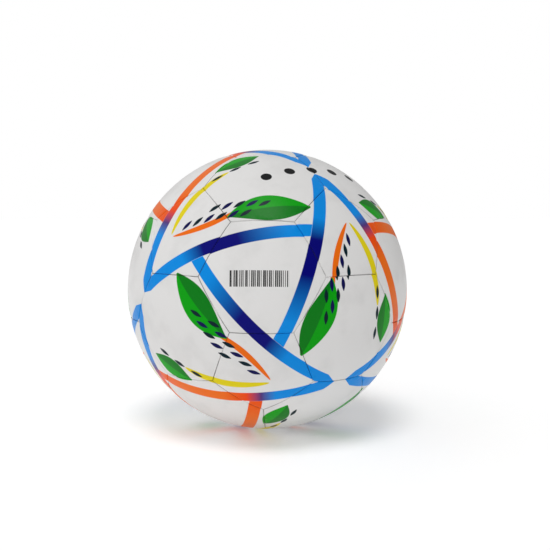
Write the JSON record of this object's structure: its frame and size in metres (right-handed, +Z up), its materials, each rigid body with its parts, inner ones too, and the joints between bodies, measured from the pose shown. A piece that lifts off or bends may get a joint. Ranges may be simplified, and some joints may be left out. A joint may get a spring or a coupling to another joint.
{
  "type": "soccer ball",
  "caption": "Inflated ball of sewn hexagon and pentagon cover panels over a rubber bladder, with seam thread and a self-sealing valve at the back.",
  "frame": {"origin": "on the floor under the ball's centre, in the middle of the contact flat", "axes": "+Z up through the middles of the bottom and top pentagons, -Y towards the front of the ball as pictured, the valve facing +Y"},
  "size_m": [0.2198, 0.2196, 0.2199],
  "materials": {
    "cover": "glossy white grained PVC with a printed decoration",
    "thread": "polyester sewing thread",
    "bladder": "matt butyl rubber",
    "patch": "matt rubber sheet",
    "valve_rubber": "moulded rubber",
    "valve_core": "soft butyl rubber",
    "backing": "rubberised cotton"
  },
  "bodies": {
    "root": {"bladder": "bladder", "bladder_valve_patch": "patch", "hexagon_bottom_1": "cover", "hexagon_bottom_2": "cover", "hexagon_bottom_3": "cover", "hexagon_bottom_4": "cover", "hexagon_bottom_5": "cover", "hexagon_lower_1": "cover", "hexagon_lower_2": "cover", "hexagon_lower_4": "cover", "hexagon_lower_5": "cover", "hexagon_top_1": "cover", "hexagon_top_2": "cover", "hexagon_top_3": "cover", "hexagon_top_4": "cover", "hexagon_top_5": "cover", "hexagon_upper_1": "cover", "hexagon_upper_2": "cover", "hexagon_upper_3": "cover", "hexagon_upper_4": "cover", "hexagon_upper_5": "cover", "hexagon_valve": "cover", "pentagon_bottom": "cover", "pentagon_lower_1": "cover", "pentagon_lower_2": "cover", "pentagon_lower_3": "cover", "pentagon_lower_4": "cover", "pentagon_lower_5": "cover", "pentagon_top": "cover", "pentagon_upper_1": "cover", "pentagon_upper_2": "cover", "pentagon_upper_3": "cover", "pentagon_upper_4": "cover", "pentagon_upper_5": "cover", "seam_thread": "thread", "valve_backing_disc": "backing", "valve_body": "valve_rubber", "valve_core": "valve_core"}
  },
  "joints": []
}
